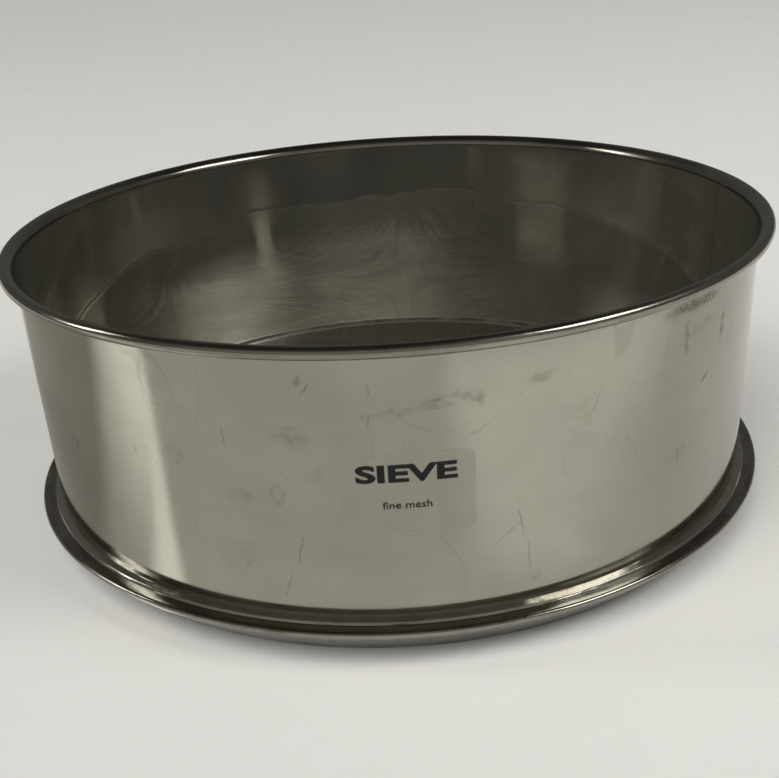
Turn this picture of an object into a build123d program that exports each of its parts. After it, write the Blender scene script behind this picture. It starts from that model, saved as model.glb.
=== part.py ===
from build123d import *
from math import acos, atan2, degrees, sqrt
import os

# Stainless drum sieve: a rolled drum with a wired rim, welded onto a spun base ring whose
# tapered skirt centres the sieve in the mouth of a pail or of another sieve. A fine cloth
# on a coarse backing mesh is stretched across the foot of the drum.
# Millimetres, +Z up. The origin is the centre of the circle that the lower lip stands on.

# Overall sizes
wall_od = 450.0            # outside of the drum wall
overall_height = 177.0     # lower lip to the top of the rim
ledge_height = 24.0        # lower lip to the top of the ledge

# Drum shell and its wired rim
drum_sheet = 0.8
rim_mouth_radius = 6.0     # inside corner where the wall turns over into the rim
rim_bead_radius = 3.4      # outside of the bead wrapped around the wire
rim_wrap = 222.0           # degrees that the sheet wraps past the top of the bead
wire_fit = 0.05            # gap between the rim wire and the sheet around it

# Base ring
ring_sheet = 1.0
ledge_projection = 12.5    # how far the ledge stands out from the drum wall
ledge_reach = 10.2         # how far the ledge reaches in past the drum wall
nesting_play = 7.2         # gap between the lip and the mouth of a matching drum
ledge_corner_radius = 2.0  # outside corner between the ledge and the skirt
lip_corner_radius = 1.6    # outside corner where the skirt turns in at the lip
lip_flat = 4.0             # width of the flat that the sieve stands on

# Welds
base_weld_rise = 2.0       # how far the dressed weld climbs the wall from the ledge
base_weld_reach = 4.8      # how far it runs out over the ledge
toe_height = 1.4           # height of the step that it ends in
toe_run = 1.0              # how far the sloping face of the step runs
tack_leg = 1.0             # fillet of a tack under the hoop
weld_crown = 0.25          # how far a tack bulges past a flat face
seam_angle = 11.0          # where the drum sheet is joined, degrees from +X
seam_width = 1.6
seam_crown = 0.2           # how far the seam stands proud of the sheet
seam_lap = 0.5             # how far the crown laps over the sheet on each side
tack_count = 16
tack_span = 5.0            # degrees of arc in one tack weld

# Mesh pack
hoop_height = 3.0
hoop_fit = 0.3             # gap between the hoop and the drum wall
hoop_overhang = 2.0        # how far the hoop reaches in past the ledge
backing_wire = 0.6         # wire of the coarse backing mesh
cloth_height = 0.15        # woven fine cloth
mesh_edge_gap = 0.4        # gap between the edge of the meshes and the drum wall
seal_leg = 2.0             # fillet that seals the edge of the cloth to the wall

# Label on the front of the drum
label_width = 68.0
label_height = 44.0
label_corner = 5.0
label_film = 0.1
label_centre_height = 97.5
label_angle = -89.0        # middle of the label, degrees from +X

# Sizes that follow from the ones above
wall_outer = wall_od / 2
wall_inner = wall_outer - drum_sheet
ledge_outer = wall_outer + ledge_projection
ledge_inner = wall_inner - ledge_reach
lip_outer = wall_inner - nesting_play
mouth_base = overall_height - rim_mouth_radius
bead_centre = (wall_inner + rim_mouth_radius, overall_height - rim_bead_radius)
hoop_top = ledge_height + hoop_height
cloth_base = hoop_top + 2 * backing_wire
cloth_top = cloth_base + cloth_height
mesh_radius = wall_inner - mesh_edge_gap


def turned(section, arc=360.0):
    """Solid of revolution about Z of a section drawn in radius and height."""
    return revolve(Plane.XZ * section, Axis.Z, arc)


def ring(inner, outer, low, high):
    """Flat-sided ring between two radii and two heights."""
    return Pos(0, 0, low) * extrude(Circle(outer) - Circle(inner), high - low)


def fillet_weld(corner_r, corner_z, side_r, side_z, leg, arc=360.0):
    """Weld in the corner at (corner_r, corner_z), whose legs run towards side_r and side_z."""
    out = (corner_r + side_r * leg, corner_z)
    up = (corner_r, corner_z + side_z * leg)
    bulge = leg / 2 + weld_crown / sqrt(2)
    face = ThreePointArc(out, (corner_r + side_r * bulge, corner_z + side_z * bulge), up)
    outline = Line((corner_r, corner_z), out) + face + Line(up, (corner_r, corner_z))
    return turned(make_face(outline), arc)


def seam_strip(inner, outer, width, low, high):
    """Strip of a ring, as wide as a weld, where the drum sheet is joined."""
    reach = Box(outer, width, high - low, align=(Align.MIN, Align.CENTER, Align.MIN))
    return ring(inner, outer, low, high) & Rot(0, 0, seam_angle) * Pos(0, 0, low) * reach


def drum_shell():
    """Wall and rim, one sheet, with the gap at its seam that the weld fills."""
    half = drum_sheet / 2
    wall = Line((wall_inner + half, ledge_height), (wall_inner + half, mouth_base))
    mouth = CenterArc((bead_centre[0], mouth_base), rim_mouth_radius - half, 180, -90)
    bead = CenterArc(bead_centre, rim_bead_radius - half, 90, -rim_wrap)
    sheet = turned(trace(wall + mouth + bead, drum_sheet))
    return sheet - seam_strip(wall_inner - 1, wall_outer + 1, seam_width, ledge_height, mouth_base)


def rim_wire():
    return turned(Pos(*bead_centre) * Circle(rim_bead_radius - drum_sheet - wire_fit))


def shell_seam_weld():
    """Bead through the sheet, with a low crown inside above the seal and outside above the foot weld."""
    crown_width = seam_width + 2 * seam_lap
    above_seal = cloth_top + seal_leg
    above_weld = ledge_height + base_weld_rise
    fill = seam_strip(wall_inner, wall_outer, seam_width, ledge_height, mouth_base)
    inside = seam_strip(wall_inner - seam_crown, wall_inner, crown_width, above_seal, mouth_base)
    outside = seam_strip(wall_outer, wall_outer + seam_crown, crown_width, above_weld, mouth_base)
    return fill + inside + outside


def base_ring():
    """Ledge, rolled corner, tapered skirt and turned-in lip, one spun sheet."""
    half = ring_sheet / 2
    corner = Vector(ledge_outer - ledge_corner_radius, ledge_height - ledge_corner_radius)
    lip = Vector(lip_outer - lip_corner_radius, lip_corner_radius)
    apart = corner - lip
    # The skirt touches the circles of both corners; its taper is measured from the vertical.
    taper = degrees(
        acos((lip_corner_radius - ledge_corner_radius) / apart.length) - atan2(apart.Y, apart.X)
    )
    ledge = Line((ledge_inner, ledge_height - half), (corner.X, ledge_height - half))
    top_turn = CenterArc(corner, ledge_corner_radius - half, 90, -90 - taper)
    lip_turn = CenterArc(lip, lip_corner_radius - half, -taper, taper - 90)
    skirt = Line(top_turn @ 1, lip_turn @ 0)
    foot = Line((lip.X, half), (lip.X - lip_flat, half))
    return turned(trace(ledge + top_turn + skirt + lip_turn + foot, ring_sheet))


def base_fillet_weld():
    """Weld around the foot of the wall, dressed to a gentle slope that ends in a step."""
    toe_outer = wall_outer + base_weld_reach
    step_top = (toe_outer - toe_run, ledge_height + toe_height)
    foot = (wall_outer, ledge_height)
    climb = (wall_outer, ledge_height + base_weld_rise)
    return turned(make_face(Polyline(foot, (toe_outer, ledge_height), step_top, climb, close=True)))


def mesh_hoop():
    return ring(ledge_inner - hoop_overhang, wall_inner - hoop_fit, ledge_height, hoop_top)


def hoop_tack_welds():
    """Short fillets under the hoop, against the inner edge of the ledge."""
    tack = fillet_weld(ledge_inner, ledge_height, -1, -1, tack_leg, tack_span)
    return Compound(children=[Rot(0, 0, i * 360 / tack_count) * tack for i in range(tack_count)])


def backing_mesh():
    return Pos(0, 0, hoop_top) * extrude(Circle(mesh_radius), 2 * backing_wire)


def fine_mesh():
    return Pos(0, 0, cloth_base) * extrude(Circle(mesh_radius), cloth_height)


def mesh_seal():
    """Flat-faced fillet of sealing compound around the edge of the cloth."""
    inward = (wall_inner - seal_leg, cloth_top)
    upward = (wall_inner, cloth_top + seal_leg)
    return turned(make_face(Polyline((wall_inner, cloth_top), inward, upward, close=True)))


def size_label():
    """Film with rounded corners, wrapped onto the wall."""
    blank = extrude(RectangleRounded(label_width, label_height, label_corner), wall_od)
    blank = Pos(0, 0, label_centre_height) * Rot(0, 90, 0) * Rot(0, 0, 90) * blank
    film = ring(wall_outer, wall_outer + label_film, 0, overall_height)
    return film & Rot(0, 0, label_angle) * blank


nodes = [
    drum_shell, rim_wire, shell_seam_weld, base_ring, base_fillet_weld, mesh_hoop,
    hoop_tack_welds, backing_mesh, fine_mesh, mesh_seal, size_label,
]

os.makedirs("parts", exist_ok=True)
for node in nodes:
    export_step(node(), f"parts/{node.__name__}.step")
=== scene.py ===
import math
import bpy
from mathutils import Matrix, Vector


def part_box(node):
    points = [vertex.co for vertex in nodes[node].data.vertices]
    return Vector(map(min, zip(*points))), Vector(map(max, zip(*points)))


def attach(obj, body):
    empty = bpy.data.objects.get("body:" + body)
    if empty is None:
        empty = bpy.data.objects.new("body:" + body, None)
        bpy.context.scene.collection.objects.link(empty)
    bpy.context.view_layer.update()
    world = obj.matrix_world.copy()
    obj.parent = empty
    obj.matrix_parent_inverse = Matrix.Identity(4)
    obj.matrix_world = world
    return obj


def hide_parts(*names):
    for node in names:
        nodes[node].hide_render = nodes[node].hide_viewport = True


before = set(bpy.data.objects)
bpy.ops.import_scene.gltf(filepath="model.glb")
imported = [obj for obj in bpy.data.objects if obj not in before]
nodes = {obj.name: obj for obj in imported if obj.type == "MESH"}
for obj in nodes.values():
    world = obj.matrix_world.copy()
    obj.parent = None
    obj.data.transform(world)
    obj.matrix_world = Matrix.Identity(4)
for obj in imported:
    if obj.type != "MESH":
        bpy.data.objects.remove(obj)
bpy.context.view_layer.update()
print("frame loaded:", len(nodes), "nodes")

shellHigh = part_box("drum_shell")[1]
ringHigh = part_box("base_ring")[1]
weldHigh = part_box("base_fillet_weld")[1]
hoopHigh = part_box("mesh_hoop")[1]
clothLow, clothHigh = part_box("fine_mesh")
labelLow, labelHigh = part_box("size_label")
seamLow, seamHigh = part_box("shell_seam_weld")
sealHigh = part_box("mesh_seal")[1]

wallOuter = 0.225                  # outside radius of the drum wall
wallSheet = 0.0008
seamMiddle = (seamLow + seamHigh) / 2
seamAngle = math.degrees(math.atan2(seamMiddle.y, seamMiddle.x))


def deselectAll():
    if bpy.context.object and bpy.context.object.mode != "OBJECT":
        bpy.ops.object.mode_set(mode="OBJECT")
    bpy.ops.object.select_all(action="DESELECT")


def pick(piece):
    deselectAll()
    piece.select_set(True)
    bpy.context.view_layer.objects.active = piece


def nameIt(name):
    piece = bpy.context.object
    piece.name = name
    piece.data.name = name
    return piece


def startVertex(name, place):
    # one vertex to draw a section from
    deselectAll()
    bpy.ops.mesh.primitive_plane_add(size=0.001, location=(0, 0, 0))
    piece = nameIt(name)
    bpy.ops.object.mode_set(mode="EDIT")
    bpy.ops.mesh.merge(type="CENTER")
    bpy.ops.transform.translate(value=place)
    return piece


def drawSection(points):
    # the selected vertex is extruded from point to point
    for last, point in zip(points, points[1:]):
        step = Vector(point) - Vector(last)
        bpy.ops.mesh.extrude_region_move(TRANSFORM_OT_translate={"value": step})


def arcPoints(centre, radius, start, sweep, steps):
    # points of an arc in the XZ plane, angles in degrees from +X
    found = []
    for i in range(steps + 1):
        a = math.radians(start + sweep * i / steps)
        found.append((centre[0] + radius * math.cos(a), 0, centre[1] + radius * math.sin(a)))
    return found


def spinRound(steps):
    bpy.ops.mesh.select_all(action="SELECT")
    bpy.ops.mesh.spin(steps=steps, angle=2 * math.pi, center=(0, 0, 0), axis=(0, 0, 1))
    bpy.ops.mesh.select_all(action="SELECT")
    bpy.ops.mesh.remove_doubles(threshold=0.000005)
    bpy.ops.mesh.normals_make_consistent(inside=False)
    bpy.ops.object.mode_set(mode="OBJECT")


def addModifier(piece, kind, **values):
    modifier = piece.modifiers.new(kind.title(), kind)
    for key, value in values.items():
        setattr(modifier, key, value)
    return modifier


def applyAll(piece):
    pick(piece)
    for modifier in list(piece.modifiers):
        bpy.ops.object.modifier_apply(modifier=modifier.name)


def applyPlace(piece):
    pick(piece)
    bpy.ops.object.transform_apply(location=True, rotation=True, scale=True)


def smooth(piece, angle=40):
    pick(piece)
    bpy.ops.object.shade_smooth_by_angle(angle=math.radians(angle))


def clouds(name, size, depth=1):
    texture = bpy.data.textures.new(name, "CLOUDS")
    texture.noise_scale = size
    texture.noise_depth = depth
    return texture


def weigh(piece, name, weight):
    # a vertex group whose weight follows from each vertex's place
    group = piece.vertex_groups.new(name=name)
    for v in piece.data.vertices:
        group.add([v.index], weight(v.co), "REPLACE")


def keep(piece, slot, *replaced):
    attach(piece, "root")
    if replaced:
        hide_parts(*replaced)
    print(piece.name + ":", len(piece.data.polygons), "faces")
    return piece


# The drum: wall, mouth turn and the bead that wraps the rim wire, one sheet
drum = {
    "foot": ringHigh.z,
    "top": shellHigh.z,
    "mouthRadius": 0.006,
    "beadRadius": 0.0034,
    "wrap": 222,                # degrees the bead goes past its top
    "around": 360,
    "wallRows": 40,
    "dentSize": 0.085,
    "dentDepth": 0.0007,
    "waveSize": 0.045,          # shorter unevenness from rolling
    "waveDepth": 0.00016,
}


def makeDrumShell():
    d = drum
    half = wallSheet / 2
    middle = wallOuter - half
    mouthBase = d["top"] - d["mouthRadius"]
    beadR = wallOuter - wallSheet + d["mouthRadius"]
    rise = (mouthBase - d["foot"]) / d["wallRows"]
    wall = [(middle, 0, d["foot"] + rise * i) for i in range(d["wallRows"])]
    mouth = arcPoints((beadR, mouthBase), d["mouthRadius"] - half, 180, -90, 12)
    bead = arcPoints((beadR, d["top"] - d["beadRadius"]), d["beadRadius"] - half, 90, -d["wrap"], 26)
    points = wall + mouth + bead[1:]
    piece = startVertex("drumShell", points[0])
    drawSection(points)
    spinRound(d["around"])

    def wallWeight(place):
        # the middle of the wall takes the dents, the rim and the foot stay true
        t = (place.z - d["foot"]) / (mouthBase - d["foot"])
        return max(0.0, min(1.0, t * 4)) * max(0.0, min(1.0, (1 - t) * 5))

    weigh(piece, "wall", wallWeight)
    for name, size, depth in (("dents", d["dentSize"], d["dentDepth"]),
                              ("rollWaves", d["waveSize"], d["waveDepth"])):
        addModifier(piece, "DISPLACE", texture=clouds(name, size), texture_coords="LOCAL",
                    vertex_group="wall", strength=depth, mid_level=0.5)
    addModifier(piece, "SOLIDIFY", thickness=wallSheet, offset=0)
    applyAll(piece)
    smooth(piece)
    return keep(piece, "drum_sheet", "drum_shell")


# The base ring: ledge, rolled corner, tapered skirt and turned-in lip, one spun sheet
baseRing = {
    "outer": ringHigh.x,
    "top": ringHigh.z,
    "sheet": 0.001,
    "inner": 0.214,
    "lipOuter": 0.217,
    "cornerRadius": 0.002,
    "lipRadius": 0.0016,
    "lipFlat": 0.004,
    "around": 360,
    "waveSize": 0.05,
    "waveDepth": 0.0004,
}


def makeBaseRing():
    b = baseRing
    half = b["sheet"] / 2
    corner = Vector((b["outer"] - b["cornerRadius"], b["top"] - b["cornerRadius"]))
    lip = Vector((b["lipOuter"] - b["lipRadius"], b["lipRadius"]))
    apart = corner - lip
    taper = math.degrees(math.acos((b["lipRadius"] - b["cornerRadius"]) / apart.length)
                         - math.atan2(apart.y, apart.x))
    reach = corner.x - b["inner"]
    ledge = [(b["inner"] + reach * i / 8, 0, b["top"] - half) for i in range(8)]
    topTurn = arcPoints(corner, b["cornerRadius"] - half, 90, -90 - taper, 10)
    lipTurn = arcPoints(lip, b["lipRadius"] - half, -taper, taper - 90, 8)
    skirt = [tuple(Vector(topTurn[-1]).lerp(Vector(lipTurn[0]), i / 8)) for i in range(1, 8)]
    flat = [(lip.x - b["lipFlat"], 0, half)]
    points = ledge + topTurn + skirt + lipTurn + flat
    piece = startVertex("baseRing", points[0])
    drawSection(points)
    spinRound(b["around"])

    def skirtWeight(place):
        # the skirt is a little uneven; the ledge, the lip and the corners stay true
        low, high = b["lipRadius"], b["top"] - b["cornerRadius"]
        return math.sin(math.pi * max(0.0, min(1.0, (place.z - low) / (high - low))))

    weigh(piece, "skirt", skirtWeight)
    addModifier(piece, "DISPLACE", texture=clouds("ringWaves", b["waveSize"]), mid_level=0.5,
                texture_coords="LOCAL", vertex_group="skirt", strength=b["waveDepth"])
    addModifier(piece, "SOLIDIFY", thickness=b["sheet"], offset=0)
    applyAll(piece)
    smooth(piece)
    return keep(piece, "spun_ring", "base_ring")


# The weld around the foot of the wall: a gentle slope that ends in a worn step
baseWeld = {
    "rise": weldHigh.z - ringHigh.z,
    "reach": weldHigh.x - wallOuter,
    "toeHeight": 0.0014,
    "toeRun": 0.001,
    "crestRadius": 0.0006,
    "crestShift": (-0.55, 0, -1),   # from the top of the step to the crest's centre, in crest radii
    "crestFrom": 86,            # where the crest's arc starts, degrees from +X
    "sunk": 0.0004,             # the root lies this deep in the two sheets
    "around": 720,
    "lumpSize": 0.02,
    "lumpDepth": 0.0004,
    "rippleSize": 0.007,
    "rippleDepth": 0.00014,
    "edge": (0.0004, 0.0002),   # no unevenness this close to the wall and to the ledge
}


def makeBaseWeld():
    w = baseWeld
    foot = ringHigh.z
    toe = Vector((wallOuter + w["reach"], 0, foot))
    step = toe + Vector((-w["toeRun"], 0, w["toeHeight"]))
    climb = Vector((wallOuter, 0, foot + w["rise"]))
    root = Vector((wallOuter - w["sunk"], 0, foot - w["sunk"]))
    stepTilt = math.degrees(math.atan2(w["toeRun"], w["toeHeight"]))
    crestAt = step + Vector(w["crestShift"]) * w["crestRadius"]
    crest = [Vector(point) for point in arcPoints((crestAt.x, crestAt.z), w["crestRadius"], w["crestFrom"],
                                                  stepTilt - w["crestFrom"], 6)]
    slope = [climb.lerp(crest[0], i / 8) for i in range(8)]
    down = [crest[-1].lerp(toe, i / 4) for i in range(1, 5)]
    below = [Vector((toe.x, 0, root.z)), root, Vector((root.x, 0, climb.z)), climb]
    points = slope + crest + down + below
    piece = startVertex("baseWeld", points[0])
    drawSection(points)
    spinRound(w["around"])

    def faceWeight(place):
        fromWall = math.hypot(place.x, place.y) - wallOuter
        return 1.0 if fromWall > w["edge"][0] and place.z - foot > w["edge"][1] else 0.0

    weigh(piece, "face", faceWeight)
    for name, size, depth in (("weldLumps", w["lumpSize"], w["lumpDepth"]),
                              ("weldRipples", w["rippleSize"], w["rippleDepth"])):
        addModifier(piece, "DISPLACE", texture=clouds(name, size), texture_coords="LOCAL",
                    vertex_group="face", strength=depth, mid_level=0.5)
    applyAll(piece)
    smooth(piece, 50)
    return keep(piece, "weld", "base_fillet_weld")


# The upright seam where the drum sheet is joined: a low bead inside and outside
seam = {
    "halfWidth": 0.0013,
    "proud": 0.0003,
    "rows": 110,
    "rippleSize": 0.0022,
    "rippleDepth": 0.00022,
}


def makeSeamBead():
    s = seam
    high = drum["top"] - drum["mouthRadius"]
    beads = []
    for face, low in ((wallOuter, weldHigh.z), (wallOuter - wallSheet, sealHigh.z)):
        step = (high - low) / s["rows"]
        deselectAll()
        bpy.ops.mesh.primitive_cylinder_add(vertices=12, radius=s["halfWidth"], depth=step,
                                            location=(0, 0, 0), end_fill_type="NGON")
        piece = nameIt("seamBead")
        bpy.ops.object.mode_set(mode="EDIT")
        bpy.ops.transform.resize(value=(s["proud"] / s["halfWidth"], 1, 1))
        bpy.ops.transform.translate(value=(face, 0, low + step / 2))
        bpy.ops.mesh.select_all(action="DESELECT")
        bpy.ops.object.mode_set(mode="OBJECT")
        for polygon in piece.data.polygons:
            polygon.select = polygon.normal.z > 0.9
        bpy.ops.object.mode_set(mode="EDIT")
        bpy.ops.mesh.select_mode(type="FACE")
        for row in range(1, s["rows"]):
            bpy.ops.mesh.extrude_region_move(TRANSFORM_OT_translate={"value": (0, 0, step)})
        bpy.ops.mesh.select_mode(type="VERT")
        bpy.ops.object.mode_set(mode="OBJECT")
        piece.rotation_euler = (0, 0, math.radians(seamAngle))
        applyPlace(piece)
        beads.append(piece)
    pick(beads[0])
    beads[1].select_set(True)
    bpy.ops.object.join()
    piece = nameIt("seamBead")
    addModifier(piece, "DISPLACE", texture=clouds("seamRipples", s["rippleSize"]),
                texture_coords="LOCAL", strength=s["rippleDepth"], mid_level=0.5)
    applyAll(piece)
    smooth(piece, 60)
    return keep(piece, "weld", "shell_seam_weld")


# The fine cloth: a stretched disc that is a little slack between the backing wires
cloth = {
    "radius": clothHigh.x,
    "thickness": clothHigh.z - clothLow.z,
    "rings": 36,
    "edge": 240,                # vertices round the rim
    "slackSize": 0.06,
    "slack": 0.0009,
    "puckerSize": 0.012,
    "pucker": 0.00012,
}


def makeFineCloth():
    c = cloth
    middle = (clothLow.z + clothHigh.z) / 2
    deselectAll()
    bpy.ops.mesh.primitive_circle_add(vertices=c["edge"], radius=c["radius"], fill_type="NGON",
                                      location=(0, 0, middle))
    piece = nameIt("fineCloth")
    bpy.ops.object.mode_set(mode="EDIT")
    for i in range(c["rings"] - 1):
        bpy.ops.mesh.inset(thickness=c["radius"] / c["rings"])
    bpy.ops.mesh.poke()
    bpy.ops.object.mode_set(mode="OBJECT")
    applyPlace(piece)

    def slackWeight(place):
        return min(1.0, (c["radius"] - math.hypot(place.x, place.y)) / (0.15 * c["radius"]))

    weigh(piece, "slack", lambda place: max(0.0, slackWeight(place)))
    for name, size, depth in (("slackCloth", c["slackSize"], c["slack"]),
                              ("puckers", c["puckerSize"], c["pucker"])):
        addModifier(piece, "DISPLACE", texture=clouds(name, size, 2), texture_coords="LOCAL",
                    vertex_group="slack", strength=depth, mid_level=0.35, direction="Z")
    addModifier(piece, "SOLIDIFY", thickness=c["thickness"], offset=0)
    applyAll(piece)
    smooth(piece)
    return keep(piece, "fine_cloth", "fine_mesh")


# The coarse mesh under the cloth: crimped wires over and under each other
backing = {
    "radius": clothHigh.x,
    "wires": 56,
    "wire": (clothLow.z - hoopHigh.z) / 2,
}


def makeWires(name, turn):
    # one set of parallel wires, cut from a square grid
    b = backing
    deselectAll()
    bpy.ops.mesh.primitive_grid_add(x_subdivisions=b["wires"], y_subdivisions=b["wires"],
                                    size=2 * b["radius"], location=(0, 0, 0))
    piece = nameIt(name)
    pitch = 2 * b["radius"] / b["wires"]
    bpy.ops.object.mode_set(mode="EDIT")
    bpy.ops.mesh.delete(type="ONLY_FACE")
    bpy.ops.mesh.select_all(action="DESELECT")
    bpy.ops.object.mode_set(mode="OBJECT")
    for v in piece.data.vertices:
        v.select = math.hypot(v.co.x, v.co.y) > b["radius"] - b["wire"]
    bpy.ops.object.mode_set(mode="EDIT")
    bpy.ops.mesh.delete(type="VERT")
    bpy.ops.mesh.select_mode(type="EDGE")
    bpy.ops.object.mode_set(mode="OBJECT")
    for edge in piece.data.edges:
        first, second = (piece.data.vertices[i].co for i in edge.vertices)
        edge.select = abs(first.y - second.y) > pitch / 2
    bpy.ops.object.mode_set(mode="EDIT")
    bpy.ops.mesh.delete(type="EDGE")
    bpy.ops.mesh.select_mode(type="VERT")
    bpy.ops.object.mode_set(mode="OBJECT")
    for v in piece.data.vertices:
        column, row = round(v.co.x / pitch), round(v.co.y / pitch)
        v.select = (column + row + turn) % 2 == 0
    bpy.ops.object.mode_set(mode="EDIT")
    bpy.ops.transform.translate(value=(0, 0, b["wire"]))
    bpy.ops.object.mode_set(mode="OBJECT")
    piece.location.z = clothLow.z - 1.5 * b["wire"]
    piece.rotation_euler.z = turn * math.pi / 2
    applyPlace(piece)
    bpy.ops.object.convert(target="CURVE")
    piece = bpy.context.object
    piece.data.bevel_depth = b["wire"] / 2
    piece.data.bevel_resolution = 1
    piece.data.use_fill_caps = True
    bpy.ops.object.convert(target="MESH")
    return bpy.context.object


def makeWovenBacking():
    weft = makeWires("wovenWeft", 1)
    warp = makeWires("wovenBacking", 0)
    pick(warp)
    weft.select_set(True)
    bpy.ops.object.join()
    piece = nameIt("wovenBacking")
    smooth(piece, 60)
    return keep(piece, "wire", "backing_mesh")


# The label: a clear film with rounded corners and plain generic words
label = {
    "width": 0.068,
    "height": labelHigh.z - labelLow.z,
    "corner": 0.005,
    "film": 0.0001,
    "glue": 0.00003,            # gap between the wall and the film
    "angle": -89,
    "standOff": 0.24,           # flat pieces start this far from the axis, then are pressed back
    "strips": 34,
    "inkStrips": 26,
    "ink": 0.00018,
    "words": [
        # text, size, width, height of its middle, extra weight
        ("SIEVE", 0.0125, 0.05, 0.1085, 0.00045),
        ("fine mesh", 0.0056, 0.0245, 0.0915, 0.00003),
    ],
}


def cutStrips(piece, width, strips):
    # upright cuts, so that a flat piece can follow the round wall
    pick(piece)
    bpy.ops.object.mode_set(mode="EDIT")
    for i in range(1, strips):
        bpy.ops.mesh.select_all(action="SELECT")
        bpy.ops.mesh.bisect(plane_co=(width * (i / strips - 0.5), 0, 0), plane_no=(1, 0, 0))
    bpy.ops.object.mode_set(mode="OBJECT")


def facePlace(piece, height):
    # turns a flat piece upright so that it faces out at the label's angle
    piece.rotation_euler = (math.radians(90), 0, math.radians(label["angle"] + 90))
    turn = math.radians(label["angle"])
    away = label["standOff"]
    piece.location = (away * math.cos(turn), away * math.sin(turn), height)


def makeLabelFilm(shell):
    b = label
    deselectAll()
    bpy.ops.mesh.primitive_plane_add(size=1, location=(0, 0, 0))
    piece = nameIt("labelFilm")
    bpy.ops.object.mode_set(mode="EDIT")
    bpy.ops.transform.resize(value=(b["width"], b["height"], 1))
    bpy.ops.mesh.bevel(offset=b["corner"], offset_type="OFFSET", segments=8, affect="VERTICES")
    bpy.ops.object.mode_set(mode="OBJECT")
    cutStrips(piece, b["width"], b["strips"])
    facePlace(piece, (labelLow.z + labelHigh.z) / 2)
    layOnWall(piece, shell, b["glue"])
    addModifier(piece, "SOLIDIFY", thickness=b["film"], offset=1)
    applyAll(piece)
    smooth(piece, 50)
    return keep(piece, "label_film", "size_label")


def layOnWall(piece, shell, gap):
    # the piece is pressed back onto the wall along the line of sight it faces
    turn = math.radians(label["angle"])
    inward = Vector((-math.cos(turn), -math.sin(turn), 0))
    applyPlace(piece)
    for v in piece.data.vertices:
        hit, place, normal, index = shell.ray_cast(v.co, inward)
        if hit:
            v.co = place - inward * gap
    piece.data.update()


def makeLabelPrint(shell):
    b = label
    parts = []
    for text, size, width, height, weight in b["words"]:
        deselectAll()
        bpy.ops.object.text_add(location=(0, 0, 0))
        word = nameIt("labelPrint")
        word.data.body = text
        word.data.size = size
        word.data.align_x = "CENTER"
        word.data.align_y = "CENTER"
        word.data.offset = weight
        word.data.resolution_u = 4
        bpy.ops.object.convert(target="MESH")
        word = bpy.context.object
        word.scale.x = width / word.dimensions.x
        applyPlace(word)
        cutStrips(word, width, b["inkStrips"])
        facePlace(word, height)
        layOnWall(word, shell, b["glue"] + b["film"] + b["ink"])
        parts.append(word)
    pick(parts[0])
    parts[1].select_set(True)
    bpy.ops.object.join()
    piece = nameIt("labelPrint")
    return keep(piece, "label_film")


# Material helpers
def addNode(tree, kind, inputs=None, **settings):
    node = tree.nodes.new("ShaderNode" + kind)
    for key, value in settings.items():
        setattr(node, key, value)
    for key, value in (inputs or {}).items():
        if isinstance(value, bpy.types.NodeSocket):
            tree.links.new(value, node.inputs[key])
        else:
            node.inputs[key].default_value = value
    return node


def newMaterial(name):
    material = bpy.data.materials.new(name)
    material.use_nodes = True
    tree = material.node_tree
    return material, tree, tree.nodes["Principled BSDF"]


def sums(tree, operation, first, second, clamp=False):
    return addNode(tree, "Math", {0: first, 1: second}, operation=operation, use_clamp=clamp).outputs[0]


def spread(tree, value, low, high, toLow=0.0, toHigh=1.0):
    # maps low..high onto toLow..toHigh, softly at both ends
    return addNode(tree, "MapRange", {"Value": value, "From Min": low, "From Max": high,
                                      "To Min": toLow, "To Max": toHigh},
                   interpolation_type="SMOOTHSTEP").outputs[0]


def noise(tree, where, scale, detail=2.0, stretch=None, roughness=0.5):
    if stretch:
        where = addNode(tree, "VectorMath", {0: where, 1: stretch}, operation="MULTIPLY").outputs[0]
    return addNode(tree, "TexNoise", {"Vector": where, "Scale": scale, "Detail": detail,
                                      "Roughness": roughness}).outputs[0]


def mixColour(tree, amount, first, second, kind="MIX"):
    def rgba(colour):
        return (*colour, 1) if isinstance(colour, tuple) else colour

    node = addNode(tree, "Mix", {}, data_type="RGBA", blend_type=kind, clamp_factor=True)
    for key, value in ((0, amount), (6, rgba(first)), (7, rgba(second))):
        if isinstance(value, bpy.types.NodeSocket):
            tree.links.new(value, node.inputs[key])
        else:
            node.inputs[key].default_value = value
    return node.outputs[2]


def bend(tree, where, scale, amount):
    # shifts a pattern by noise so that no mark has a clean edge
    wander = addNode(tree, "TexNoise", {"Vector": where, "Scale": scale, "Detail": 2.0}).outputs["Color"]
    centred = addNode(tree, "VectorMath", {0: wander, 1: (0.5, 0.5, 0.5)}, operation="SUBTRACT")
    scaled = addNode(tree, "VectorMath", {0: centred.outputs[0], 1: (amount, amount, 0)},
                     operation="MULTIPLY")
    return addNode(tree, "VectorMath", {0: where, 1: scaled.outputs[0]}, operation="ADD").outputs[0]


def objectPlace(tree):
    return addNode(tree, "TexCoord").outputs["Object"]


def unrolled(tree):
    # the wall laid flat, in metres: X round the drum from the far side of the seam, Y up
    turned = addNode(tree, "Mapping", {"Vector": objectPlace(tree),
                                       "Rotation": (0, 0, math.pi - math.radians(seamAngle))})
    xyz = addNode(tree, "SeparateXYZ", {0: turned.outputs[0]})
    angle = sums(tree, "ARCTAN2", xyz.outputs[1], xyz.outputs[0])
    along = sums(tree, "MULTIPLY", angle, wallOuter)
    return addNode(tree, "CombineXYZ", {0: along, 1: xyz.outputs[2]}).outputs[0]


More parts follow.
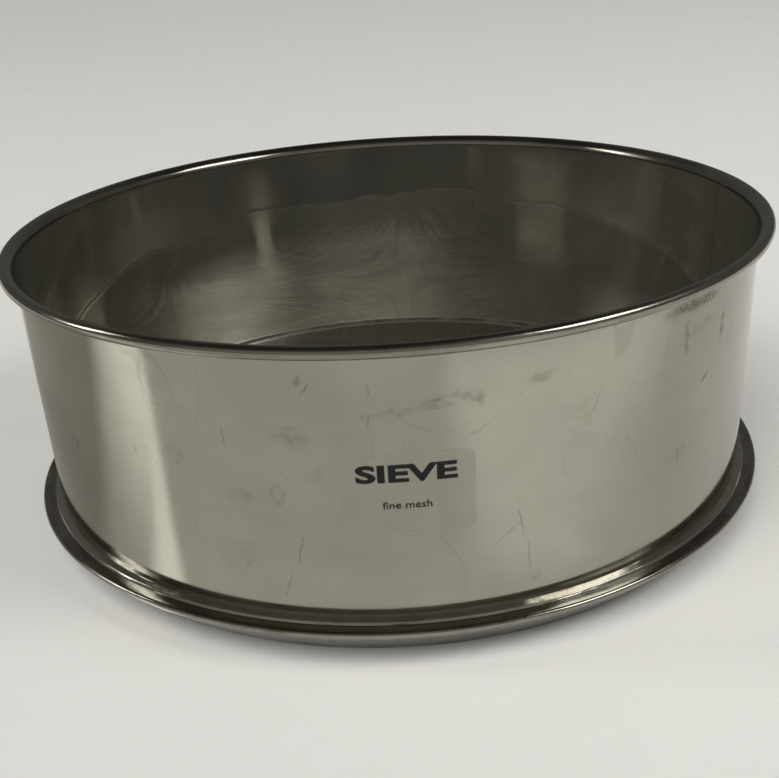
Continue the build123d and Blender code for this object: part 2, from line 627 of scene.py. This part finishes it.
def roundAxis(tree):
    # X and Y as they are, and across the section in Z, for turned and spun pieces
    place = objectPlace(tree)
    xyz = addNode(tree, "SeparateXYZ", {0: place})
    flat = addNode(tree, "CombineXYZ", {0: xyz.outputs[0], 1: xyz.outputs[1]})
    radius = addNode(tree, "VectorMath", {0: flat.outputs[0]}, operation="LENGTH").outputs["Value"]
    across = sums(tree, "ADD", radius, xyz.outputs[2])
    return addNode(tree, "CombineXYZ", {0: xyz.outputs[0], 1: xyz.outputs[1], 2: across}).outputs[0]


def aroundTo(angle):
    # where an angle from +X lies along the unrolled wall
    turned = (angle + 180 - seamAngle + 180) % 360 - 180
    return math.radians(turned) * wallOuter


def markMask(tree, where, marks):
    # each mark is an ellipse: angle, height, half width, half height (mm), tilt, strength
    total = 0.0
    for angle, height, halfWidth, halfHeight, tilt, strength in marks:
        spot = addNode(tree, "Mapping", {"Vector": where,
                                         "Location": (aroundTo(angle), height / 1000, 0),
                                         "Rotation": (0, 0, math.radians(tilt)),
                                         "Scale": (halfWidth / 1000, halfHeight / 1000, 1)},
                       vector_type="TEXTURE").outputs[0]
        fade = addNode(tree, "TexGradient", {"Vector": spot}, gradient_type="SPHERICAL").outputs[1]
        soft = spread(tree, fade, 0.0, 0.7, 0.0, strength)
        total = sums(tree, "MAXIMUM", total, soft)
    return total


def outlineMask(tree, where, marks):
    # the same ellipses, of which only the rim is left
    outer = markMask(tree, where, marks)
    smaller = [(angle, height, wide * 0.72, tall * 0.72, tilt, strength * 1.3)
               for angle, height, wide, tall, tilt, strength in marks]
    inner = markMask(tree, where, smaller)
    return sums(tree, "SUBTRACT", outer, inner, True)


def hairlines(tree, where, scale, width, stretch, share):
    # thin wandering scratches: the middle line of a noise, broken up by another noise
    wave = noise(tree, where, scale, 1.0, stretch)
    off = sums(tree, "ABSOLUTE", sums(tree, "SUBTRACT", wave, 0.5), 0.0)
    line = spread(tree, off, 0.0, width, 1.0, 0.0)
    patches = spread(tree, noise(tree, where, scale * 0.7, 2.0), 1 - share, 1.04 - share)
    return sums(tree, "MULTIPLY", line, patches)


def bumpFrom(tree, height, depth, before=None):
    inputs = {"Height": height, "Distance": depth, "Strength": 1.0}
    if before:
        inputs["Normal"] = before
    return addNode(tree, "Bump", inputs).outputs[0]


def connect(tree, shader, colour=None, roughness=None, normal=None):
    for key, value in (("Base Color", colour), ("Roughness", roughness), ("Normal", normal)):
        if value:
            tree.links.new(value, shader.inputs[key])


def paint(piece, *materials):
    piece.data.materials.clear()
    for material in materials:
        piece.data.materials.append(material)


brownFilm = (0.115, 0.09, 0.06)
darkLine = (0.07, 0.062, 0.048)

# Outside of the drum: polished sheet with handling marks, smears and scratches
outside = {
    "roughness": (0.075, 0.15),
    "smearTint": 0.68,
    "cutTint": 0.6,
    "hairTint": 0.16,
    "dustTint": 0.3,
    "smears": [
        # angle, height, half width, half height, tilt, strength
        (-141, 145, 6, 5, 0, 0.35), (-120, 112, 9, 6, 0, 0.35), (-110.5, 93, 8, 7, 20, 0.3),
        (-100.5, 109, 7, 6, 0, 0.3), (-103, 129, 13, 9, -20, 0.5), (-101.5, 158, 8, 3, 35, 0.3),
        (-90, 141, 24, 3, 10, 0.5), (-84, 146, 15, 4, 8, 0.9), (-80.5, 146, 8, 6, 0, 0.8),
        (-71.5, 150, 11, 4, 12, 0.5), (-48, 146, 4, 13, 5, 0.9), (-52, 147, 3, 9, 0, 0.4),
        (-38.5, 143, 4, 14, -4, 1.0), (-44, 150, 22, 4, 2, 0.35), (-35, 133, 10, 12, 0, 0.25),
        # the wide flat smear at -47 degrees draws a dark brown arc just under the bead
        (-47, 163, 30, 6, 1.5, 0.6), (-66, 120, 14, 20, 0, 0.2), (-112, 60, 20, 14, 0, 0.2),
    ],
    "outlines": [               # as the smears, of which only the rim shows
        (-105.5, 97, 5, 7.5, 8, 0.8), (-72.3, 40, 5, 4, 5, 0.5), (-120.5, 112, 9, 7, 10, 0.35),
        (-111, 93, 8, 7, 0, 0.3),
    ],
    "marks": [
        # the wide flat mark at -46 degrees darkens that arc under the bead further
        (-46, 164, 32, 4.8, 1, 1.0), (-48, 146, 2, 12, 5, 0.35), (-38.5, 143, 2.2, 13, -4, 0.4),
        (-143, 98, 4, 1.2, 10, 0.8), (-141.6, 95, 1.2, 5, -12, 0.8), (-121.8, 139, 3, 1, -20, 0.7),
        (-112, 127, 0.8, 9, 5, 0.5), (-127, 110, 1, 5, 10, 0.5), (-101.5, 158, 2, 4, -30, 0.5),
        (-100.6, 154, 1, 6, -35, 0.6), 
        (-103.2, 66, 0.9, 14, -14, 0.6), (-105.4, 44, 0.9, 12, -20, 0.6), (-93, 152, 0.7, 6, 2, 0.5),
        (-93.2, 137, 0.7, 6, -2, 0.5), (-93, 125, 0.7, 5, 2, 0.4), (-74.4, 76, 0.8, 14, 10, 0.5),
        (-73.2, 54, 0.8, 13, 6, 0.5), (-72.3, 38.5, 1.6, 2.4, 0, 0.6), (-110.5, 56, 0.6, 13, -38, 0.4),
        (-76, 69, 0.6, 14, -52, 0.4), (-64, 128, 0.6, 17, -22, 0.4), (-42.8, 119, 7, 1.3, 32, 1.0),
        (-48.2, 82, 1.0, 5.5, 12, 0.8), (-46.8, 84, 1.0, 3, -25, 0.6), (-57, 96, 0.6, 20, 30, 0.35),
        (-88, 134, 0.6, 12, 62, 0.4), (-80, 128, 0.6, 16, -58, 0.35), (-118, 70, 0.6, 16, 14, 0.35),
    ],
}


def makeOutside():
    o = outside
    material, tree, shader = newMaterial("polishedOutside")
    where = unrolled(tree)
    cloudy = noise(tree, where, 16, 4.0)
    wiped = noise(tree, bend(tree, where, 20, 0.02), 45, 4.0, (0.25, 1.6, 1))
    grain = noise(tree, where, 900, 2.0, (0.03, 1, 1))
    smear = sums(tree, "MULTIPLY", markMask(tree, bend(tree, where, 110, 0.009), o["smears"]),
                 spread(tree, noise(tree, where, 260, 5.0, (0.45, 1, 1), 0.68), 0.36, 0.66))
    outlined = outlineMask(tree, bend(tree, where, 130, 0.004), o["outlines"])
    marked = sums(tree, "MAXIMUM", markMask(tree, bend(tree, where, 160, 0.0035), o["marks"]), outlined)
    cut = sums(tree, "MULTIPLY", marked,
               spread(tree, noise(tree, where, 420, 3.0), 0.32, 0.5))
    hair = hairlines(tree, bend(tree, where, 60, 0.004), 14, 0.0022, (1, 0.45, 1), 0.46)
    fine = hairlines(tree, bend(tree, where, 90, 0.003), 30, 0.004, (1.6, 0.6, 1), 0.46)
    specks = addNode(tree, "TexVoronoi", {"Vector": where, "Scale": 170.0}).outputs["Distance"]
    dust = sums(tree, "MULTIPLY", spread(tree, specks, 0.06, 0.13, 1.0, 0.0),
                spread(tree, noise(tree, where, 26, 3.0), 0.55, 0.66))
    tone = mixColour(tree, spread(tree, cloudy, 0.3, 0.7), (0.326, 0.317, 0.271), (0.362, 0.352, 0.299))
    tone = mixColour(tree, spread(tree, wiped, 0.45, 0.75, 0.0, 0.22), tone, (0.285, 0.274, 0.228))
    tone = mixColour(tree, sums(tree, "MULTIPLY", smear, o["smearTint"]), tone, brownFilm)
    tone = mixColour(tree, sums(tree, "MULTIPLY", cut, o["cutTint"]), tone, darkLine)
    scratch = sums(tree, "MULTIPLY", sums(tree, "MAXIMUM", hair, fine), o["hairTint"])
    tone = mixColour(tree, scratch, tone, darkLine)
    tone = mixColour(tree, sums(tree, "MULTIPLY", dust, o["dustTint"]), tone, darkLine)
    low, high = o["roughness"]
    rough = spread(tree, sums(tree, "ADD", sums(tree, "MULTIPLY", cloudy, 0.5),
                              sums(tree, "MULTIPLY", wiped, 0.5)), 0.3, 0.7, low, high)
    rough = sums(tree, "ADD", rough, sums(tree, "MULTIPLY", smear, 0.16))
    rough = sums(tree, "ADD", rough, sums(tree, "MULTIPLY", cut, 0.2))
    normal = bumpFrom(tree, grain, 0.000004)
    normal = bumpFrom(tree, noise(tree, where, 55, 2.0), 0.00003, normal)
    normal = bumpFrom(tree, sums(tree, "ADD", cut, hair), -0.00002, normal)
    shader.inputs["Metallic"].default_value = 1
    connect(tree, shader, tone, rough, normal)
    return material


# Inside of the drum: brushed sheet with water marks, and painted reflections: soft upright light bands and
# curved light lines
inside = {
    "roughness": (0.012, 0.04),
    # painted reflections: upright bands lighter in colour, standing in for lamp reflections in the wall
    "reflectionBands": [
        # angle, height, half width, half height, tilt, strength
        (126, 78, 52, 120, 0, 0.3), (101, 150, 26, 70, 0, 0.3), (57, 150, 30, 70, 0, 0.25),
        (147, 120, 24, 120, 6, 0.2), (35, 110, 20, 120, 14, 0.4), (113.5, 118, 1.6, 8, 14, 0.5),
        (-60, 100, 60, 150, 3, 0.4), (-120, 100, 40, 150, 0, 0.4), (-150, 100, 30, 150, 0, 0.3),
    ],
    "reflectionCurls": [                  # painted reflections: light lines, the rims of ellipses listed in the same way
        (54, 118, 46, 26, -16, 0.6), (40, 96, 30, 34, -40, 0.5), (140, 104, 26, 40, 30, 0.5),
        (98, 88, 95, 34, 3, 0.3), (22, 100, 20, 50, 24, 0.4),
    ],
}


def makeInside():
    n = inside
    material, tree, shader = newMaterial("brushedInside")
    where = unrolled(tree)
    cloudy = noise(tree, where, 12, 4.0)
    brush = noise(tree, where, 1400, 3.0, (0.02, 1, 1))
    upright = noise(tree, where, 500, 3.0, (1, 0.02, 1))
    reflectionBandMask = sums(tree, "MULTIPLY", markMask(tree, bend(tree, where, 9, 0.03), n["reflectionBands"]),
                spread(tree, noise(tree, where, 30, 2.0, (1, 0.15, 1)), 0.2, 0.6, 0.7, 1.0))
    drips = spread(tree, noise(tree, bend(tree, where, 14, 0.03), 26, 3.0, (1, 0.35, 1)), 0.5, 0.7)
    hair = hairlines(tree, bend(tree, where, 40, 0.01), 14, 0.005, (0.5, 1, 1), 0.45)
    tone = mixColour(tree, spread(tree, cloudy, 0.3, 0.7), (0.325, 0.315, 0.262), (0.385, 0.373, 0.308))
    tone = mixColour(tree, spread(tree, brush, 0.35, 0.65, 0.0, 0.16), tone, (0.27, 0.262, 0.225))
    # painted reflection: the bands lighten the colour
    tone = mixColour(tree, sums(tree, "MULTIPLY", reflectionBandMask, 0.7), tone, (0.50, 0.49, 0.42))
    tone = mixColour(tree, sums(tree, "MULTIPLY", drips, 0.25), tone, (0.25, 0.235, 0.2))
    tone = mixColour(tree, sums(tree, "MULTIPLY", hair, 0.15), tone, darkLine)
    # painted reflections: light curved lines standing in for lamp reflections in the slightly buckled
    # sheet
    reflectionCurlMask = sums(tree, "MULTIPLY", outlineMask(tree, bend(tree, where, 12, 0.06), n["reflectionCurls"]),
                spread(tree, noise(tree, where, 20, 2.0), 0.46, 0.62))
    tone = mixColour(tree, reflectionCurlMask, tone, (0.8, 0.775, 0.65))
    low, high = n["roughness"]
    rough = spread(tree, sums(tree, "ADD", sums(tree, "MULTIPLY", cloudy, 0.6),
                              sums(tree, "MULTIPLY", upright, 0.4)), 0.3, 0.7, low, high)
    rough = sums(tree, "ADD", rough, sums(tree, "MULTIPLY", reflectionBandMask, 0.05))
    normal = bumpFrom(tree, brush, 0.0000025)
    normal = bumpFrom(tree, upright, 0.000002, normal)
    normal = bumpFrom(tree, noise(tree, where, 34, 1.0, (1, 0.6, 1)), 0.00012, normal)
    shader.inputs["Metallic"].default_value = 0.87
    connect(tree, shader, tone, rough, normal)
    return material


# Turned and spun steel: fine rings round the axis, a brown film in patches, small knocks, and painted
# shade towards the lip on the base ring
spunFinishes = {
    "rolledRim": {"tone": (0.315, 0.303, 0.258), "roughness": (0.12, 0.22), "film": 0.3, "rings": 0.00002},
    "spunSteel": {"tone": (0.32, 0.31, 0.27), "roughness": (0.10, 0.24), "film": 0.6, "rings": 0.00002,
                  "shadedFoot": 0.016},
    "hoopSteel": {"tone": (0.33, 0.325, 0.295), "roughness": (0.22, 0.38), "film": 0.3, "rings": 0.00003},
    "drawnWire": {"tone": (0.34, 0.335, 0.31), "roughness": (0.28, 0.42), "film": 0.2, "rings": 0.00002},
}


def makeSpun(name):
    f = spunFinishes[name]
    material, tree, shader = newMaterial(name)
    where = roundAxis(tree)
    rings = noise(tree, where, 1800, 3.0, (0.012, 0.012, 1))
    cloudy = noise(tree, where, 26, 4.0, (1, 1, 0.6))
    patches = noise(tree, where, 70, 5.0, (0.5, 0.5, 2.2), 0.62)
    knocks = addNode(tree, "TexVoronoi", {"Vector": where, "Scale": 95.0}).outputs["Distance"]
    knock = sums(tree, "MULTIPLY", spread(tree, knocks, 0.05, 0.14, 1.0, 0.0),
                 spread(tree, noise(tree, where, 30, 2.0), 0.5, 0.62))
    film = sums(tree, "MULTIPLY", spread(tree, patches, 0.47, 0.66), f["film"])
    dark = tuple(c * 0.8 for c in f["tone"])
    tone = mixColour(tree, spread(tree, cloudy, 0.3, 0.7), dark, f["tone"])
    tone = mixColour(tree, spread(tree, rings, 0.35, 0.65, 0.0, 0.25), tone, tuple(c * 0.7 for c in dark))
    tone = mixColour(tree, film, tone, (0.15, 0.12, 0.085))
    tone = mixColour(tree, sums(tree, "MULTIPLY", knock, 0.5), tone, darkLine)
    if "shadedFoot" in f:
        # painted shade: darker towards the lip that the sieve stands on, where the floor's contact shadow
        # falls
        height = addNode(tree, "SeparateXYZ", {0: objectPlace(tree)}).outputs[2]
        foot = spread(tree, sums(tree, "ADD", height, sums(tree, "MULTIPLY", patches, 0.006)),
                      0.004, f["shadedFoot"] + 0.003, 0.9, 0.0)
        tone = mixColour(tree, foot, tone, (0.055, 0.05, 0.04))
    low, high = f["roughness"]
    rough = sums(tree, "ADD", spread(tree, cloudy, 0.3, 0.7, low, high),
                 sums(tree, "MULTIPLY", film, 0.15))
    normal = bumpFrom(tree, rings, f["rings"])
    normal = bumpFrom(tree, knock, -0.00006, normal)
    normal = bumpFrom(tree, noise(tree, where, 120, 3.0), 0.00005, normal)
    shader.inputs["Metallic"].default_value = 1
    connect(tree, shader, tone, rough, normal)
    return material


# Weld metal: scaly ripples, straw and brown heat tint
weldFinish = {
    "ripple": 0.0019,
    "tone": (0.36, 0.345, 0.30), "straw": (0.26, 0.19, 0.10), "burnt": (0.06, 0.05, 0.042),
}


def makeWeldMetal(name, tint):
    w = weldFinish
    material, tree, shader = newMaterial(name)
    where = objectPlace(tree)
    blotch = noise(tree, where, 60, 4.0)
    fine = noise(tree, where, 520, 4.0, None, 0.62)
    scale = noise(tree, where, 1 / w["ripple"], 1.0)
    tone = mixColour(tree, spread(tree, blotch, 0.5, 0.72, 0.0, tint), w["tone"], w["straw"])
    tone = mixColour(tree, spread(tree, fine, 0.54, 0.7, 0.0, tint), tone, w["burnt"])
    rough = spread(tree, fine, 0.3, 0.7, 0.09, 0.2)
    normal = bumpFrom(tree, scale, 0.00003)
    normal = bumpFrom(tree, fine, 0.00001, normal)
    shader.inputs["Metallic"].default_value = 0.92
    connect(tree, shader, tone, rough, normal)
    return material


# Fine wire cloth: over and under weave, uneven sheen along both sets of wires
clothFinish = {"pitch": 0.00032, "tone": (0.36, 0.35, 0.31), "roughness": (0.28, 0.42)}


def makeWireCloth():
    c = clothFinish
    material, tree, shader = newMaterial("wireCloth")
    where = objectPlace(tree)
    turn = addNode(tree, "Mapping", {"Vector": where, "Rotation": (0, 0, math.radians(7))}).outputs[0]
    xyz = addNode(tree, "SeparateXYZ", {0: turn})
    waves = [sums(tree, "SINE", sums(tree, "MULTIPLY", xyz.outputs[i], 2 * math.pi / c["pitch"]), 0.0)
             for i in (0, 1)]
    weave = sums(tree, "MULTIPLY", waves[0], waves[1])
    warp = noise(tree, turn, 300, 3.0, (1, 0.02, 0))
    weft = noise(tree, turn, 300, 3.0, (0.02, 1, 0))
    cross = sums(tree, "MULTIPLY", sums(tree, "ADD", warp, weft), 0.5)
    blotch = noise(tree, turn, 22, 4.0)
    tone = mixColour(tree, spread(tree, cross, 0.38, 0.62), tuple(v * 0.72 for v in c["tone"]), c["tone"])
    tone = mixColour(tree, spread(tree, blotch, 0.45, 0.75, 0.0, 0.35), tone, (0.2, 0.185, 0.15))
    # painted highlight: the colour turns light in a ring near the cloth's edge
    flat = addNode(tree, "CombineXYZ", {0: xyz.outputs[0], 1: xyz.outputs[1]})
    radius = addNode(tree, "VectorMath", {0: flat.outputs[0]}, operation="LENGTH").outputs["Value"]
    edgeHighlight = spread(tree, radius, cloth["radius"] - 0.0075, cloth["radius"] - 0.0045)
    tone = mixColour(tree, edgeHighlight, tone, (0.85, 0.83, 0.72))
    rough = spread(tree, cross, 0.35, 0.65, *c["roughness"])
    normal = bumpFrom(tree, weave, 0.000012)
    normal = bumpFrom(tree, cross, 0.00012, normal)
    shader.inputs["Metallic"].default_value = 1
    connect(tree, shader, tone, rough, normal)
    return material


def makeSeal():
    # dark compound smeared round the edge of the cloth
    material, tree, shader = newMaterial("sealCompound")
    where = objectPlace(tree)
    smears = noise(tree, where, 90, 5.0, None, 0.6)
    pits = noise(tree, where, 700, 3.0)
    tone = mixColour(tree, spread(tree, smears, 0.35, 0.7), (0.022, 0.02, 0.017), (0.06, 0.055, 0.045))
    rough = spread(tree, pits, 0.3, 0.7, 0.42, 0.68)
    normal = bumpFrom(tree, smears, 0.0004)
    normal = bumpFrom(tree, pits, 0.00005, normal)
    connect(tree, shader, tone, rough, normal)
    return material


def makeFilm():
    # milky clear film with faint wipe marks
    material, tree, shader = newMaterial("labelFilm")
    where = unrolled(tree)
    cloudy = noise(tree, where, 60, 4.0)
    wiped = noise(tree, where, 400, 3.0, (0.1, 1, 1))
    tone = mixColour(tree, spread(tree, cloudy, 0.3, 0.7), (0.43, 0.415, 0.345), (0.48, 0.463, 0.385))
    rough = spread(tree, wiped, 0.3, 0.7, 0.2, 0.3)
    shader.inputs["Specular IOR Level"].default_value = 0.3
    shader.inputs["Alpha"].default_value = 0.2
    connect(tree, shader, tone, rough, bumpFrom(tree, cloudy, 0.00003))
    return material


def makeInk():
    # black print with small wear
    material, tree, shader = newMaterial("labelInk")
    where = objectPlace(tree)
    worn = spread(tree, noise(tree, where, 900, 4.0, None, 0.65), 0.62, 0.75)
    tone = mixColour(tree, sums(tree, "MULTIPLY", worn, 0.5), (0.012, 0.012, 0.013), (0.12, 0.12, 0.11))
    rough = spread(tree, worn, 0.0, 1.0, 0.45, 0.6)
    shader.inputs["Specular IOR Level"].default_value = 0.15
    connect(tree, shader, tone, rough, bumpFrom(tree, worn, -0.00001))
    return material


# Camera, floor and light
camera = {
    "place": (0, -0.7237, 0.3611),
    "down": 30.57,
    "yaw": -0.814,
    "roll": -3.775,
    "lens": 53.28,
    "sensor": 36,
    "shift": (0.0014, 0.2067),
}


def makeCamera():
    c = camera
    data = bpy.data.cameras.new("camera")
    data.sensor_width = c["sensor"]
    data.lens = c["lens"]
    data.shift_x, data.shift_y = c["shift"]
    data.clip_start, data.clip_end = 0.01, 50
    eye = bpy.data.objects.new("camera", data)
    bpy.context.scene.collection.objects.link(eye)
    eye.location = c["place"]
    turn = (Matrix.Rotation(math.radians(-c["yaw"]), 3, "Z")
            @ Matrix.Rotation(math.radians(90 - c["down"]), 3, "X")
            @ Matrix.Rotation(math.radians(c["roll"]), 3, "Z"))
    eye.rotation_euler = turn.to_euler()
    bpy.context.scene.camera = eye
    print("camera set")


studio = {
    "floorRadius": 7,
    "floorDrop": 0.0003,
    "floorTone": (0.82, 0.81, 0.77),
    "keyPlace": (2.2, -0.95, 2.2), "keySize": (1.5, 1.0), "keyPower": 34,
    "windowPlace": (-2.6, 0.2, 1.35), "windowSize": (0.5, 1.1), "windowPower": 11,
    "clothPlace": (0.1, -1.7, 1.9), "clothSize": (1.6, 0.9), "clothPower": 16,
    "sunAngles": (38, -30), "sunStrength": 1.95, "sunSoftness": 50,
    "skyLow": (0.30, 0.292, 0.262), "skyMiddle": (0.34, 0.332, 0.30), "skyHigh": (0.12, 0.117, 0.105),
    "skyTop": (0.09, 0.087, 0.078), "sideShare": 0.36,
    "backdrop": (0.86, 0.855, 0.835),
    # bright and dim patches of floor that only the polished metal sees, corners on the floor
    "glow": [(-0.15, -0.155), (-0.72, -0.05), (-0.68, -0.315), (-0.12, -0.20)], "glowPower": 1.5,
    "sheen": [(0.03, -0.24), (0.15, -0.85), (1.0, -0.12), (0.19, -0.155)], "sheenPower": 1.0,
    "shade": [(-0.13, -0.16), (-0.17, 0.03), (-0.60, 0.60), (-0.80, -0.10)], "shadeTone": 0.55,
}


def makeFloor():
    deselectAll()
    bpy.ops.mesh.primitive_circle_add(vertices=128, radius=studio["floorRadius"], fill_type="NGON",
                                      location=(0, 0, -studio["floorDrop"]))
    floor = nameIt("floor")
    material, tree, shader = newMaterial("floorPaper")
    tone = studio["floorTone"]
    mottle = noise(tree, objectPlace(tree), 14, 5.0)
    colour = mixColour(tree, spread(tree, mottle, 0.3, 0.7), tuple(c * 0.985 for c in tone), tone)
    shader.inputs["Roughness"].default_value = 0.9
    shader.inputs["Specular IOR Level"].default_value = 0.1
    connect(tree, shader, colour)
    paint(floor, material)


def floorPatch(name, corners, lift):
    # a patch just over the floor, which neither the camera nor the floor sees
    deselectAll()
    bpy.ops.mesh.primitive_plane_add(size=1, location=(0, 0, 0))
    patch = nameIt("floor" + name.title())
    order = sorted(patch.data.vertices, key=lambda v: math.atan2(v.co.y, v.co.x))
    corners = sorted(corners, key=lambda c: math.atan2(c[1] - sum(p[1] for p in corners) / 4,
                                                       c[0] - sum(p[0] for p in corners) / 4))
    for v, place in zip(order, corners):
        v.co = (*place, lift)
    patch.visible_camera = False
    patch.visible_diffuse = False
    patch.visible_shadow = False
    return patch


def acrossPatch(tree, axis, rise, fall):
    # 0 at two opposite edges of a patch, 1 between, from its own UV map
    uv = addNode(tree, "SeparateXYZ", {0: addNode(tree, "TexCoord").outputs["UV"]}).outputs[axis]
    return sums(tree, "MULTIPLY", spread(tree, uv, 0.0, rise), spread(tree, uv, fall, 1.0, 1.0, 0.0))


def makePatches():
    for name, rise, fall, lift in (("glow", 0.3, 0.45, 0.0012), ("sheen", 0.35, 0.8, 0.0008),
                                   ("shade", 0.3, 0.9, 0.0016)):
        patch = floorPatch(name, studio[name], lift)
        material, tree, shader = newMaterial(name)
        tree.nodes.remove(shader)
        clear = addNode(tree, "BsdfTransparent")
        if name == "shade":
            tone = studio["shadeTone"]
            over = addNode(tree, "BsdfTransparent", {"Color": (tone, tone * 0.99, tone * 0.92, 1)})
        else:
            over = addNode(tree, "Emission", {"Color": (1, 0.985, 0.92, 1),
                                              "Strength": studio[name + "Power"]})
        amount = acrossPatch(tree, 1, rise, fall)
        if name == "sheen":
            amount = sums(tree, "MULTIPLY", amount, acrossPatch(tree, 0, 0.5, 0.7))
        both = addNode(tree, "MixShader", {0: amount, 1: clear.outputs[0], 2: over.outputs[0]})
        tree.links.new(both.outputs[0], tree.nodes["Material Output"].inputs["Surface"])
        paint(patch, material)


def makeWorld():
    s = studio
    world = bpy.data.worlds.new("room")
    bpy.context.scene.world = world
    world.use_nodes = True
    tree = world.node_tree
    sky = tree.nodes["Background"]
    xyz = addNode(tree, "SeparateXYZ", {0: addNode(tree, "TexCoord").outputs["Generated"]})
    heights = addNode(tree, "ValToRGB", {0: xyz.outputs[2]})
    ramp = heights.color_ramp
    ramp.elements[0].position, ramp.elements[0].color = 0.05, (*s["skyLow"], 1)
    ramp.elements[1].position, ramp.elements[1].color = 1.0, (*s["skyTop"], 1)
    ramp.elements.new(0.5).color = (*s["skyMiddle"], 1)
    ramp.elements.new(0.8).color = (*s["skyHigh"], 1)
    tree.links.new(heights.outputs[0], sky.inputs["Color"])
    # the room is lighter in front of the drum than beside and behind it
    tree.links.new(spread(tree, xyz.outputs[1], -0.85, 0.0, 1.0, s["sideShare"]), sky.inputs["Strength"])
    plain = addNode(tree, "Background", {"Color": (*s["backdrop"], 1)})
    seen = addNode(tree, "LightPath").outputs["Is Camera Ray"]
    both = addNode(tree, "MixShader", {0: seen, 1: sky.outputs[0], 2: plain.outputs[0]})
    tree.links.new(both.outputs[0], tree.nodes["World Output"].inputs["Surface"])


def makeLights(mesh):
    s = studio
    for name in ("key", "window", "cloth"):
        panel = bpy.data.lights.new(name, "AREA")
        panel.shape = "RECTANGLE"
        panel.size, panel.size_y = s[name + "Size"]
        panel.energy = s[name + "Power"]
        lamp = bpy.data.objects.new(name, panel)
        lamp.location = s[name + "Place"]
        lamp.rotation_euler = (-Vector(s[name + "Place"])).to_track_quat("-Z", "Y").to_euler()
        bpy.context.scene.collection.objects.link(lamp)
    only = bpy.data.collections.new("meshOnly")
    only.objects.link(mesh)
    # this panel only brightens the mesh, and nothing shades it
    lamp.light_linking.receiver_collection = only
    lamp.light_linking.blocker_collection = only
    sun = bpy.data.lights.new("softSun", "SUN")
    sun.energy = s["sunStrength"]
    sun.angle = math.radians(s["sunSoftness"])
    fill = bpy.data.objects.new("softSun", sun)
    tilt, turn = s["sunAngles"]
    fill.rotation_euler = (math.radians(tilt), 0, math.radians(turn))
    fill.visible_glossy = False
    bpy.context.scene.collection.objects.link(fill)
    view = bpy.context.scene.view_settings
    view.view_transform = "Standard"
    view.look = "None"
    print("stage and lights set")


makeCamera()
makeFloor()
makePatches()
makeWorld()

shell = makeDrumShell()
paint(shell, makeOutside(), makeInside(), makeSpun("rolledRim"))
rimFrom = drum["top"] - drum["mouthRadius"]
for face in shell.data.polygons:
    outward = face.center.x * face.normal.x + face.center.y * face.normal.y > 0
    face.material_index = 2 if face.center.z > rimFrom else 0 if outward else 1

ring = makeBaseRing()
spunSteel = makeSpun("spunSteel")
paint(ring, spunSteel)
weldMetal = makeWeldMetal("weldMetal", 0.35)
paint(makeBaseWeld(), weldMetal)
paint(makeSeamBead(), weldMetal)
fineCloth = makeFineCloth()
paint(fineCloth, makeWireCloth())
makeLights(fineCloth)
drawnWire = makeSpun("drawnWire")
paint(makeWovenBacking(), drawnWire)
paint(makeLabelFilm(shell), makeFilm())
paint(makeLabelPrint(shell), makeInk())

paint(nodes["rim_wire"], drawnWire)
paint(nodes["mesh_hoop"], makeSpun("hoopSteel"))
paint(nodes["hoop_tack_welds"], makeWeldMetal("tackMetal", 0.9))
paint(nodes["mesh_seal"], makeSeal())
for name in ("drum_shell", "base_ring", "base_fillet_weld", "shell_seam_weld", "fine_mesh",
             "backing_mesh", "size_label"):
    paint(nodes[name], spunSteel)
print("materials set")
